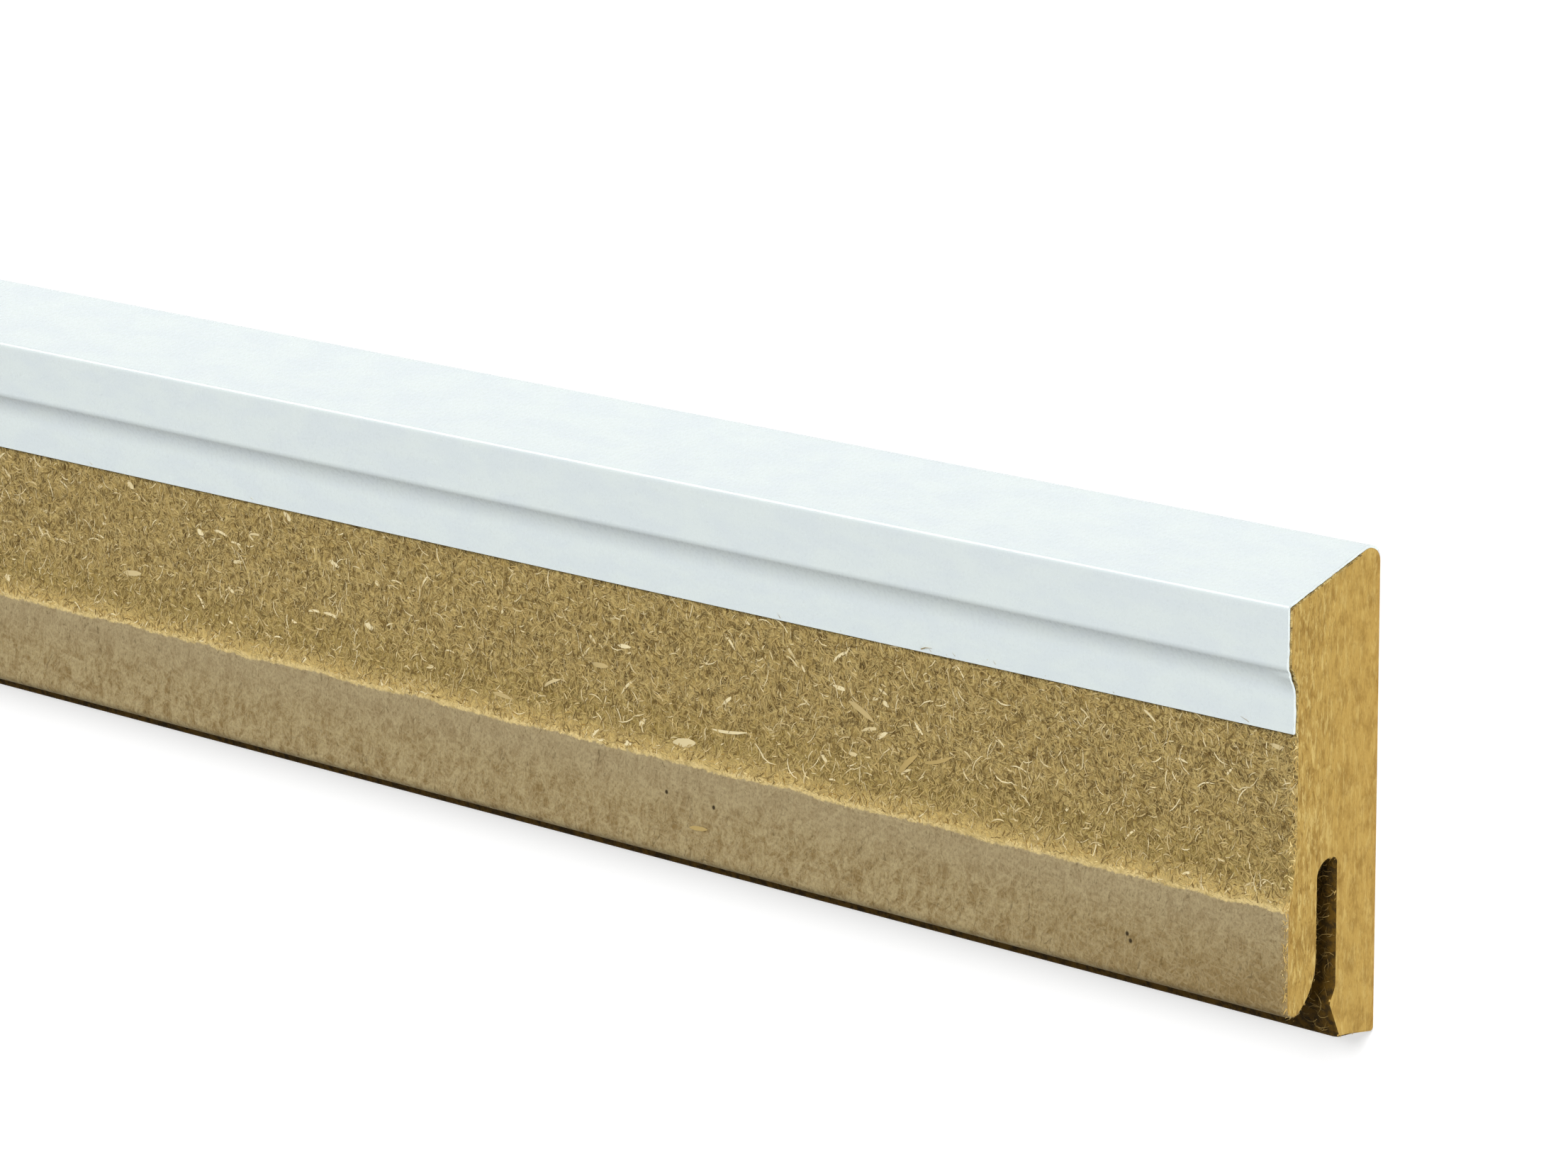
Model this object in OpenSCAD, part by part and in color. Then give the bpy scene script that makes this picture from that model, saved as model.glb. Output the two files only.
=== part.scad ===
// Skirting board: a profiled fibreboard core whose upper half is wrapped in white foil.
// The board lies on its back. X runs along the board, +Y points to the top edge that
// shows above the floor covering, and +Z is the visible front face.
// The origin is at the middle of the back face.

/* [Board] */
// Length of the board
board_len = 2400; // [300:50:4000]
// Finished height on the wall, foil included
board_h = 60; // [56:0.5:90]
// Thickness of the raw fibreboard
board_t = 15; // [14:0.5:22]
// Rounding of the two sawn corners at the foot of the back leg
foot_r = 0.5; // [0.2:0.1:1]

/* [Top edge] */
// Slope of the top bevel, from square to the wall
bevel_angle = 23.5; // [15:0.5:28]
// Radius where the bevel runs into the back face
top_r = 1.7; // [1:0.1:2.4]
// Radius of the arris between the bevel and the lip
arris_r = 0.5; // [0.2:0.1:1]
// Height of the flat face of the lip
lip_h = 7; // [5:0.1:8]
// Radius of the cove under the lip
cove_r = 5.8; // [5:0.1:8]

/* [Foil] */
// Thickness of the foil
foil_t = 0.35; // [0.2:0.05:0.5]
// Depth of the foil's seat below the lip
seat_depth = 1.2; // [0.8:0.05:1.5]
// Flat strip of foil below the cove
strip_h = 4.6; // [3:0.1:6]
// Air between the foil's end and the plane of the back face
back_gap = 0.1; // [0.05:0.01:0.2]

/* [Insert recess] */
// Step from the foil's seat down to the milled floor
mill_step = 0.1; // [0.05:0.05:0.4]
// Flat milled floor below the foil
floor_h = 11.3; // [8:0.1:12]
// Radius of the sweep from the milled floor out to the raw face
sweep_r = 42; // [20:1:60]

/* [Clip groove] */
// Thickness of the front leg
front_leg_t = 5.3; // [4.5:0.1:6]
// Width of the groove between the legs
groove_w = 2.8; // [2.8:0.1:3.4]
// Height of the groove's closed end above the foot
groove_h = 22.4; // [18:0.1:25]
// Radius of the groove's closed end on the front side
groove_front_r = 2.2; // [1:0.1:2.2]
// Radius of the groove's closed end on the back side
groove_back_r = 0.5; // [0.2:0.1:0.5]
// Height at which the lead-in of the front leg begins
lead_h = 10.7; // [10:0.1:12]
// Radius of the lead-in on the inside of the front leg
lead_r = 9; // [8:0.1:10]
// Radius of the nose at the front leg's tip
nose_r = 1.4; // [0.8:0.1:1.8]
// Height of the retaining bead on the back leg
bead_h = 4.3; // [3:0.1:5]
// How far the bead stands into the groove
bead_depth = 0.9; // [0.4:0.1:1.2]
// Height over which the bead fades into the groove wall
bead_fade = 2.7; // [1.5:0.1:4]
// How far the back leg's foot is set back from the groove wall
foot_setback = 0.7; // [0:0.1:1.5]

/* [Hidden] */
// Chords in each round stretch of the outline
ARC_STEPS = 10;

core_top = board_h - foil_t;
top_c = [core_top - top_r, top_r];
arris_c = [
    top_c[0] + (top_r - arris_r - (board_t - arris_r - top_r) * sin(bevel_angle)) / cos(bevel_angle),
    board_t - arris_r
];
seat_t = board_t - seat_depth;
floor_t = seat_t - mill_step;
cove_turn = acos(1 - seat_depth / cove_r);
cove_c = [arris_c[0] - lip_h - cove_r * sin(cove_turn), seat_t + cove_r];
foil_low = cove_c[0] - strip_h;
sweep_top = foil_low - floor_h;
sweep_turn = acos(1 - (board_t - floor_t) / sweep_r);

groove_front_t = board_t - front_leg_t;
groove_back_t = groove_front_t - groove_w;
lead_c = [lead_h, groove_front_t + lead_r];
nose_drop = lead_c[1] - (board_t - nose_r);
nose_c = [
    lead_h - sqrt(pow(lead_r - nose_r, 2) - pow(nose_drop, 2)),
    board_t - nose_r
];
nose_turn = atan2(nose_c[1] - lead_c[1], nose_c[0] - lead_c[0]) + 360;
foot_t = groove_back_t - foot_setback;

// Points of an arc in the section, from angle a0 to angle a1
function arc(centre, r, a0, a1, steps = ARC_STEPS) =
    [for (i = [0 : steps]) let (a = a0 + (a1 - a0) * i / steps) centre + r * [cos(a), sin(a)]];

// Top round, bevel, arris, lip, cove and seat, pushed outwards by skin.
// turn is the angle on the top round at which the outline starts.
function upper_face(skin, turn) = concat(
    arc(top_c, top_r + skin, turn, bevel_angle),
    arc(arris_c, arris_r + skin, bevel_angle, 90),
    arc(cove_c, cove_r - skin, acos(1 - seat_depth / (cove_r - skin)) - 90, -90),
    [[foil_low, seat_t + skin]]
);

// Milled floor below the foil and its sweep out to the raw face
function insert_recess() = concat(
    [[foil_low, floor_t]],
    arc([sweep_top, floor_t + sweep_r], sweep_r, -90, -90 - sweep_turn)
);

// Front leg from its outer face, round the nose, to the groove
function front_leg() = concat(
    arc(nose_c, nose_r, 90, nose_turn),
    arc(lead_c, lead_r, nose_turn, 270)
);

// Closed end of the groove
function groove_end() = concat(
    arc([groove_h - groove_front_r, groove_front_t - groove_front_r], groove_front_r, 90, 0),
    arc([groove_h - groove_back_r, groove_back_t + groove_back_r], groove_back_r, 0, -90)
);

// Back leg: wall, retaining bead, lead-in and foot
function back_leg() = concat(
    [for (i = [0 : ARC_STEPS]) let (s = i / ARC_STEPS)
        [bead_h + bead_fade * (1 - s), groove_back_t + bead_depth * (1 - cos(180 * s)) / 2]],
    [[foot_r, foot_t]],
    arc([foot_r, foot_t - foot_r], foot_r, 90, 180),
    arc([foot_r, foot_r], foot_r, 180, 270)
);

// Lays a section of the board down along X, with the middle of its back on the origin
module lay_down() {
    translate([0, -board_h / 2, 0])
        rotate([90, 0, 90])
            linear_extrude(height = board_len, center = true)
                children();
}

module core_board() {
    color([0.73, 0.6, 0.38])
        lay_down()
            polygon(concat(
                upper_face(0, -90),
                insert_recess(),
                front_leg(),
                groove_end(),
                back_leg()
            ));
}

module foil_wrap() {
    // The foil stops on the top round, just short of the plane of the back face
    foil_turn = -asin((top_r - back_gap) / (top_r + foil_t));
    inside = upper_face(0, foil_turn);
    color([0.9, 0.92, 0.92])
        lay_down()
            polygon(concat(
                upper_face(foil_t, foil_turn),
                [for (i = [len(inside) - 1 : -1 : 0]) inside[i]]
            ));
}

core_board();
foil_wrap();
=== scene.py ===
"""Looks of a foil-wrapped fibreboard skirting board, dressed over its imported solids.

The board lies on its back: X runs along it, +Y points to the bevelled top edge and +Z out of
the front face. Lengths are metres, and a name that ends in _MM holds millimetres.
"""

import logging
import math
from dataclasses import dataclass
from enum import Enum
from functools import cached_property

import bpy
from mathutils import Matrix, Vector

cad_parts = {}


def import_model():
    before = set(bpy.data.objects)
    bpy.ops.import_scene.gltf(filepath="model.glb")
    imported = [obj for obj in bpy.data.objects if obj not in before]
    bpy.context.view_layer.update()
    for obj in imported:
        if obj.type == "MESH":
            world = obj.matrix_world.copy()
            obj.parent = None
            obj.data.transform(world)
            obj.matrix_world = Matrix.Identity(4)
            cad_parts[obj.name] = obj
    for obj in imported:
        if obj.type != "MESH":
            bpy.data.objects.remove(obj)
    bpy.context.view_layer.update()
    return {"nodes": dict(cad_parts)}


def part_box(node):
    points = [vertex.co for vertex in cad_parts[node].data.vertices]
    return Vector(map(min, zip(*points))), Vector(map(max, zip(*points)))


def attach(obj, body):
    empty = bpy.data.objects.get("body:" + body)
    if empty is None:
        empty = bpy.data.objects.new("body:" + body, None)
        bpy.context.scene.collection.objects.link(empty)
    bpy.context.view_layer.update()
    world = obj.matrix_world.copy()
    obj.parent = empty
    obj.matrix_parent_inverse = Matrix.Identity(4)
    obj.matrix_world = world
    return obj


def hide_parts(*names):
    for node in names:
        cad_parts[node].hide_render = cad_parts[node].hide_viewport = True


LOG = logging.getLogger("skirting_board")

MM = 0.001
BODY = "root"
CORE_NODE = "core_board"
FOIL_NODE = "foil_wrap"
FIBREBOARD_SLOT = "fibreboard"
FOIL_SLOT = "white_foil"
WEIGHT_LEVELS = 24
WELD = 1e-6


def srgb(red: float, green: float, blue: float) -> tuple[float, float, float, float]:
    """Turn a colour read off a screen into the linear colour a shader takes.

    Args:
        red: Red from 0 to 255.
        green: Green from 0 to 255.
        blue: Blue from 0 to 255.

    Returns:
        The linear colour with an alpha of 1.
    """
    def linear(channel: float) -> float:
        """Undo the screen's curve for one channel."""
        value = channel / 255
        return value / 12.92 if value <= 0.04045 else ((value + 0.055) / 1.055) ** 2.4

    return (linear(red), linear(green), linear(blue), 1.0)


class Axis(Enum):
    """Directions of the board's own frame."""

    ALONG = Vector((1, 0, 0))
    UP_THE_WALL = Vector((0, 1, 0))
    OUT_OF_FACE = Vector((0, 0, 1))


class Hands:
    """Selecting and editing by operators, as at the screen."""

    @staticmethod
    def take(*objects: bpy.types.Object) -> None:
        """Select these objects alone, and make the first one active."""
        bpy.ops.object.select_all(action="DESELECT")
        for item in objects:
            item.select_set(True)
        bpy.context.view_layer.objects.active = objects[0]

    @staticmethod
    def edit(piece: bpy.types.Object, mode: str = "VERT") -> None:
        """Enter edit mode on a piece with nothing selected."""
        Hands.take(piece)
        bpy.ops.object.mode_set(mode="EDIT")
        bpy.ops.mesh.select_mode(type=mode)
        bpy.ops.mesh.select_all(action="DESELECT")
        bpy.ops.object.mode_set(mode="OBJECT")

    @staticmethod
    def operate(piece: bpy.types.Object, operator: str, **settings: object) -> None:
        """Run one mesh operator on what is selected in a piece.

        Args:
            piece: The mesh object to work on.
            operator: The operator's name in bpy.ops.mesh.
            settings: The operator's own settings.
        """
        Hands.take(piece)
        bpy.ops.object.mode_set(mode="EDIT")
        getattr(bpy.ops.mesh, operator)(**settings)
        bpy.ops.object.mode_set(mode="OBJECT")

    @staticmethod
    def apply(piece: bpy.types.Object, modifier: bpy.types.Modifier) -> None:
        """Apply one modifier to a piece."""
        Hands.take(piece)
        bpy.ops.object.modifier_apply(modifier=modifier.name)

    @staticmethod
    def remove(*objects: bpy.types.Object) -> None:
        """Delete objects that were only helpers."""
        Hands.take(*objects)
        bpy.ops.object.delete()


@dataclass(frozen=True)
class Nodes:
    """A short hand for wiring one material, with all patterns in millimetres."""

    tree: bpy.types.NodeTree

    def add(self, kind: str, **settings: object) -> bpy.types.Node:
        """Add a node and set its properties."""
        node = self.tree.nodes.new(kind)
        for name, value in settings.items():
            setattr(node, name, value)
        return node

    def put(self, node: bpy.types.Node, socket: int | str, value: object) -> None:
        """Link a socket to another node's output, or set its number or colour."""
        if isinstance(value, bpy.types.NodeSocket):
            self.tree.links.new(value, node.inputs[socket])
        else:
            node.inputs[socket].default_value = value

    def place(self, stretch: tuple[float, float, float] = (1, 1, 1), turn: float = 0.0,
              about: Axis = Axis.OUT_OF_FACE) -> bpy.types.NodeSocket:
        """Object coordinates in millimetres, turned and then stretched.

        Args:
            stretch: How much closer the pattern is packed along each axis.
            turn: Turn of the pattern in degrees.
            about: The axis it turns about.

        Returns:
            The coordinates' socket.
        """
        coords = self.add("ShaderNodeTexCoord").outputs["Object"]
        turned = self.add("ShaderNodeMapping")
        self.put(turned, "Vector", coords)
        self.put(turned, "Rotation", tuple(math.radians(turn) * part for part in about.value))
        packed = self.add("ShaderNodeMapping")
        self.put(packed, "Vector", turned.outputs[0])
        self.put(packed, "Scale", tuple(part / MM for part in stretch))
        return packed.outputs[0]

    def noise(self, place: bpy.types.NodeSocket, scale: float, detail: float = 2.0,
              roughness: float = 0.5, distortion: float = 0.0) -> bpy.types.NodeSocket:
        """Noise with features of about 1 / scale millimetres."""
        node = self.add("ShaderNodeTexNoise")
        self.put(node, "Vector", place)
        self.put(node, "Scale", scale)
        self.put(node, "Detail", detail)
        self.put(node, "Roughness", roughness)
        self.put(node, "Distortion", distortion)
        return node.outputs["Fac"]

    def spread(self, value: bpy.types.NodeSocket, low: float, high: float,
               to_low: float = 0.0, to_high: float = 1.0) -> bpy.types.NodeSocket:
        """Stretch the range from low to high over another one, smoothly and clamped."""
        node = self.add("ShaderNodeMapRange", interpolation_type="SMOOTHSTEP")
        self.put(node, "Value", value)
        self.put(node, "From Min", low)
        self.put(node, "From Max", high)
        self.put(node, "To Min", to_low)
        self.put(node, "To Max", to_high)
        return node.outputs["Result"]

    def maths(self, operation: str, first: object, second: object) -> bpy.types.NodeSocket:
        """One Math node."""
        node = self.add("ShaderNodeMath", operation=operation)
        self.put(node, 0, first)
        self.put(node, 1, second)
        return node.outputs[0]

    def times(self, first: object, second: object) -> bpy.types.NodeSocket:
        """The product of two values, which is also where both masks hold."""
        return self.maths("MULTIPLY", first, second)

    def blend(self, share: object, under: object, over: object,
              mode: str = "MIX") -> bpy.types.NodeSocket:
        """Lay one colour over another by a share from 0 to 1."""
        node = self.add("ShaderNodeMix", data_type="RGBA", blend_type=mode)
        self.put(node, 0, share)
        self.put(node, 6, under)
        self.put(node, 7, over)
        return node.outputs[2]

    def coordinate(self, axis: str) -> bpy.types.NodeSocket:
        """One object coordinate in millimetres."""
        split = self.add("ShaderNodeSeparateXYZ")
        self.put(split, "Vector", self.place())
        return split.outputs[axis]

    def spot(self, at_mm: tuple[float, float, float], radius_mm: float) -> bpy.types.NodeSocket:
        """1 at a place in millimetres, falling to 0 at a radius."""
        node = self.add("ShaderNodeVectorMath", operation="DISTANCE")
        self.put(node, 0, self.place())
        self.put(node, 1, at_mm)
        return self.spread(node.outputs["Value"], radius_mm, 0.4 * radius_mm)

    def bump(self, height: bpy.types.NodeSocket, depth_mm: float,
             under: bpy.types.NodeSocket | None = None, strength: float = 1.0) -> bpy.types.NodeSocket:
        """Turn a height from 0 to 1 into a bent normal."""
        node = self.add("ShaderNodeBump")
        self.put(node, "Height", height)
        self.put(node, "Distance", depth_mm * MM)
        self.put(node, "Strength", strength)
        if under is not None:
            self.put(node, "Normal", under)
        return node.outputs["Normal"]


class Finish:
    """One procedural finish. A subclass names it and wires its nodes."""

    name = "finish"

    def wire(self, nodes: Nodes, shader: bpy.types.Node) -> None:
        """Wire the pattern into the shader."""
        raise NotImplementedError

    def material(self) -> bpy.types.Material:
        """The finish's material, made once and shared."""
        found = bpy.data.materials.get(self.name)
        if found is not None:
            return found
        made = bpy.data.materials.new(self.name)
        made.use_nodes = True
        self.wire(Nodes(made.node_tree), made.node_tree.nodes["Principled BSDF"])
        return made


@dataclass(frozen=True)
class WhiteFoil(Finish):
    """Satin white foil with a faint orange peel and a slow drift of tone."""

    name = "satin_white_foil"
    light: tuple = srgb(229, 238, 237)
    shade: tuple = srgb(225, 234, 236)

    def wire(self, nodes: Nodes, shader: bpy.types.Node) -> None:
        """Mottle the colour, and give the gloss a fine peel."""
        mottle = nodes.spread(nodes.noise(nodes.place((0.35, 1, 1)), 0.35, 4.0, 0.6), 0.35, 0.65)
        nodes.put(shader, "Base Color", nodes.blend(mottle, self.shade, self.light))
        gloss = nodes.noise(nodes.place(), 1.6, 3.0)
        nodes.put(shader, "Roughness", nodes.spread(gloss, 0.3, 0.7, 0.24, 0.34))
        nodes.put(shader, "Specular IOR Level", 0.42)
        nodes.put(shader, "Coat Weight", 0.12)
        nodes.put(shader, "Coat Roughness", 0.16)
        peel = nodes.noise(nodes.place((0.6, 1, 1)), 0.9, 2.0, 0.5)
        ripple = nodes.noise(nodes.place((1, 0.4, 0.4)), 0.4, 2.0)
        normal = nodes.bump(peel, 0.012, strength=0.06)
        nodes.put(shader, "Normal", nodes.bump(ripple, 0.04, normal, 0.3))


@dataclass(frozen=True)
class Fibreboard(Finish):
    """Bare fibreboard on the front: milled floor, ridge with a painted highlight above it, and pressed
    lower face.
    """

    name = "bare_fibreboard"
    ridge_mm: float = -13.1
    floor_end_mm: float = -2.8
    groove_front_mm: float = 9.7
    groove_top_mm: float = -7.6
    pit: tuple = srgb(92, 70, 30)
    felt: tuple = srgb(172, 146, 84)
    fibre: tuple = srgb(214, 190, 126)
    olive: tuple = srgb(138, 116, 50)
    # Painted highlight: paler colour for the slope just above the ridge, where it catches the light
    # from above.
    ridge: tuple = srgb(228, 198, 126)
    torn: tuple = srgb(236, 211, 148)
    pressed: tuple = srgb(174, 155, 112)
    pressed_warm: tuple = srgb(136, 112, 68)
    pressed_grey: tuple = srgb(168, 151, 116)
    speck: tuple = srgb(86, 69, 38)
    flake: tuple = srgb(198, 180, 138)
    # Painted shade: near-black browns that stand in for the shade inside the clip groove.
    dark: tuple = srgb(92, 66, 8)
    deep: tuple = srgb(50, 35, 3)
    knot: tuple = srgb(58, 46, 24)
    knots_mm: tuple = ((1172.5, -20.6), (1173.1, -21.4), (1085.0, -17.5), (1094.5, -18.0))
    face_mm: float = 15.0
    back_mm: float = 3.5
    end_mm: float = 1200.0

    def fibres(self, nodes: Nodes, scale: float) -> bpy.types.NodeSocket:
        """Short fibres lying every way, as the highest of five stretched noises."""
        turns = (12, 49, 83, 121, 158)
        found = None
        for count, turn in enumerate(turns):
            place = nodes.place((0.22, 1, 0.6), turn + 7 * count)
            strands = nodes.spread(nodes.noise(place, scale, 1.0, 0.4, 0.9), 0.52, 0.74)
            found = strands if found is None else nodes.maths("MAXIMUM", found, strands)
        return found

    def wire(self, nodes: Nodes, shader: bpy.types.Node) -> None:
        """Lay the three bands over each other, split by a wavy ridge line."""
        height = nodes.coordinate("Y")
        wave = nodes.noise(nodes.place((1, 0, 0)), 0.07, 3.0, 0.6)
        ragged = nodes.noise(nodes.place(), 1.4, 3.0, 0.7)
        wander = nodes.times(nodes.maths("SUBTRACT", wave, 0.5), 2.4)
        fray = nodes.times(nodes.maths("SUBTRACT", ragged, 0.5), 1.1)
        level = nodes.maths("ADD", nodes.maths("ADD", height, wander), fray)

        felt_noise = nodes.noise(nodes.place(), 0.9, 4.0, 0.65)
        milled = nodes.blend(nodes.spread(felt_noise, 0.36, 0.6), self.pit, self.felt)
        strands = self.fibres(nodes, 2.6)
        milled = nodes.blend(nodes.times(strands, 0.7), milled, self.fibre)
        shady = nodes.spread(level, self.floor_end_mm - 6, self.floor_end_mm - 1, 1, 0)
        milled = nodes.blend(nodes.times(shady, 0.35), milled, self.olive)
        nearer = nodes.spread(nodes.coordinate("X"), self.end_mm - 130, self.end_mm, 0.1, 0.85)
        holes = nodes.spread(nodes.noise(nodes.place(), 1.3, 3.0, 0.7, 0.8), 0.43, 0.33)
        milled = nodes.blend(nodes.times(holes, nearer), milled, self.pit)

        drift = nodes.noise(nodes.place((1, 0.7, 1), 32), 0.55, 5.0, 0.72, 0.8)
        pressed = nodes.blend(nodes.spread(drift, 0.34, 0.62), self.pressed_warm, self.pressed)
        lower = nodes.spread(level, self.ridge_mm - 2, self.ridge_mm - 11)
        by_end = nodes.spread(nodes.coordinate("X"), self.end_mm - 70, self.end_mm)
        browner = nodes.times(lower, by_end)
        pressed = nodes.blend(nodes.times(browner, 0.8), pressed, self.pressed_warm)
        greyer = nodes.spread(level, self.ridge_mm - 8, self.ridge_mm - 1)
        pressed = nodes.blend(nodes.times(greyer, 0.6), pressed, self.pressed_grey)
        flattened = self.fibres(nodes, 1.7)
        pressed = nodes.blend(nodes.times(flattened, 0.32), pressed, self.flake)
        grain = nodes.noise(nodes.place((1, 0.8, 1)), 2.6, 4.0, 0.7)
        squiggle = nodes.noise(nodes.place((1, 0.45, 1), 20), 1.1, 2.0, 0.6, 1.6)
        pressed = nodes.blend(nodes.spread(grain, 0.34, 0.56, 0.35, 0.0), pressed, self.speck)
        pressed = nodes.blend(nodes.spread(squiggle, 0.6, 0.74, 0, 0.5), pressed, self.speck)

        # Painted highlight: the band just above the ridge line is painted paler, for its slope
        # catching the light from above.
        crest = nodes.times(
            nodes.spread(level, self.ridge_mm - 0.3, self.ridge_mm + 0.2),
            nodes.spread(level, self.ridge_mm + 0.8, self.ridge_mm + 3.4, 1, 0),
        )
        lip = nodes.times(
            nodes.spread(level, self.ridge_mm - 0.35, self.ridge_mm - 0.05),
            nodes.spread(level, self.ridge_mm + 0.15, self.ridge_mm + 0.8, 1, 0),
        )
        above = nodes.spread(level, self.ridge_mm - 0.3, self.ridge_mm + 0.1)
        front = nodes.blend(above, pressed, milled)
        front = nodes.blend(nodes.times(crest, 0.6), front, self.ridge)
        broken = nodes.spread(felt_noise, 0.34, 0.6, 0.15, 0.8)
        front = nodes.blend(nodes.times(lip, broken), front, self.torn)
        for across_mm, up_mm in self.knots_mm:
            knot = nodes.spot((across_mm, up_mm, self.face_mm), 0.42)
            front = nodes.blend(knot, front, self.knot)

        depth = nodes.coordinate("Z")
        front = nodes.blend(nodes.spread(depth, self.back_mm, 0.5 * self.back_mm), front, pressed)
        # Painted shade: the groove's walls are painted near-black brown, with a cloudy mottle, for the
        # shade that falls inside it.
        inside = nodes.times(
            nodes.spread(depth, self.groove_front_mm + 0.2, self.groove_front_mm - 0.4, 0, 1),
            nodes.spread(height, self.groove_top_mm + 0.5, self.groove_top_mm, 0, 1),
        )
        inside = nodes.times(inside, nodes.spread(depth, self.back_mm, self.back_mm + 1))
        painted_groove_shade = nodes.blend(nodes.spread(felt_noise, 0.35, 0.62), self.deep, self.dark)
        nodes.put(shader, "Base Color", nodes.blend(inside, front, painted_groove_shade))
        nodes.put(shader, "Roughness", nodes.spread(grain, 0.3, 0.7, 0.78, 0.94))
        nodes.put(shader, "Specular IOR Level", 0.25)
        on_floor = nodes.spread(level, self.ridge_mm - 0.3, self.ridge_mm + 0.6, 0.12, 1.0)
        relief = nodes.times(nodes.maths("ADD", strands, felt_noise), on_floor)
        normal = nodes.bump(relief, 0.16, strength=0.8)
        nodes.put(shader, "Normal", nodes.bump(grain, 0.05, normal, 0.35))


@dataclass(frozen=True)
class SawnEnd(Finish):
    """The sawn end: golden, with short streaks across the saw's travel."""

    name = "sawn_fibreboard"
    middle: tuple = srgb(187, 154, 82)
    deep: tuple = srgb(140, 106, 44)
    light: tuple = srgb(214, 188, 118)
    skin: tuple = srgb(152, 112, 48)
    face_mm: float = 15.0

    def wire(self, nodes: Nodes, shader: bpy.types.Node) -> None:
        """Streak the board's section, with denser skins at its two faces."""
        depth = nodes.coordinate("Z")
        torn = nodes.spread(depth, self.face_mm * 0.25, self.face_mm * 0.8, 0.45, 1.0)
        cloud = nodes.noise(nodes.place((1, 0.6, 1)), 0.45, 4.0, 0.7)
        base = nodes.blend(nodes.spread(cloud, 0.3, 0.58, 0.3, 1.0), self.deep, self.middle)
        streaks = nodes.noise(nodes.place((1, 0.2, 1), 3), 1.7, 4.0, 0.75, 0.4)
        flecks = nodes.times(nodes.spread(streaks, 0.48, 0.64), torn)
        base = nodes.blend(nodes.times(flecks, 0.8), base, self.light)
        pits = nodes.noise(nodes.place((1, 0.25, 1), -5), 2.2, 4.0, 0.7, 0.5)
        lines = nodes.times(nodes.spread(pits, 0.5, 0.64), torn)
        base = nodes.blend(nodes.times(lines, 0.75), base, self.deep)
        front_skin = nodes.spread(depth, self.face_mm - 1.2, self.face_mm - 0.1, 0, 0.35)
        back_skin = nodes.spread(depth, 0.7, 0.1, 0, 0.2)
        skins = nodes.maths("MAXIMUM", front_skin, back_skin)
        nodes.put(shader, "Base Color", nodes.blend(skins, base, self.skin))
        nodes.put(shader, "Roughness", nodes.spread(streaks, 0.3, 0.7, 0.8, 0.94))
        nodes.put(shader, "Specular IOR Level", 0.25)
        relief = nodes.maths("SUBTRACT", streaks, nodes.times(pits, 0.6))
        nodes.put(shader, "Normal", nodes.bump(nodes.times(relief, torn), 0.3, strength=0.8))


@dataclass(frozen=True)
class LooseFibre(Finish):
    """Single fibres and flakes, each with its own tone."""

    name = "loose_fibre"
    dark: tuple = srgb(118, 94, 46)
    middle: tuple = srgb(188, 162, 102)
    light: tuple = srgb(240, 224, 178)

    def wire(self, nodes: Nodes, shader: bpy.types.Node) -> None:
        """Colour each strand by the tone stored on it."""
        tone = nodes.add("ShaderNodeAttribute", attribute_name="tone").outputs["Fac"]
        low = nodes.blend(nodes.spread(tone, 0.0, 0.55), self.dark, self.middle)
        colour = nodes.blend(nodes.spread(tone, 0.72, 1.0), low, self.light)
        nodes.put(shader, "Base Color", colour)
        grain = nodes.noise(nodes.place(), 4.0, 2.0)
        nodes.put(shader, "Roughness", nodes.spread(grain, 0.3, 0.7, 0.7, 0.9))
        nodes.put(shader, "Specular IOR Level", 0.3)


@dataclass(frozen=True)
class GoldenFibre(LooseFibre):
    """Fibres torn up by the saw and at the ridge."""

    name = "golden_fibre"
    dark: tuple = srgb(152, 118, 52)
    middle: tuple = srgb(200, 168, 98)
    light: tuple = srgb(240, 218, 154)


@dataclass(frozen=True)
class StudioFloor(Finish):
    """A plain pale floor that the camera and gloss see as white paper, with its shadows kept."""

    name = "studio_floor"
    paper: tuple = (0.68, 0.68, 0.68, 1.0)
    lift: float = 0.52
    contact_mm: float = 0.1

    def wire(self, nodes: Nodes, shader: bpy.types.Node) -> None:
        """Lift the paper to white for camera and glossy rays, and let light reach what lies on it."""
        nodes.put(shader, "Base Color", self.paper)
        nodes.put(shader, "Roughness", 0.95)
        nodes.put(shader, "Specular IOR Level", 0.0)
        rays = nodes.add("ShaderNodeLightPath").outputs
        seen = nodes.maths("MAXIMUM", rays["Is Camera Ray"], rays["Is Glossy Ray"])
        seen = nodes.maths("MAXIMUM", seen, rays["Is Transmission Ray"])
        nodes.put(shader, "Emission Color", (1.0, 1.0, 1.0, 1.0))
        nodes.put(shader, "Emission Strength", nodes.times(seen, self.lift))
        below = nodes.add("ShaderNodeNewGeometry").outputs["Backfacing"]
        touching = nodes.maths("LESS_THAN", rays["Ray Length"], self.contact_mm * MM)
        clear = nodes.maths("MAXIMUM", below, touching)
        nodes.put(shader, "Alpha", nodes.maths("SUBTRACT", 1.0, clear))


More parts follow.
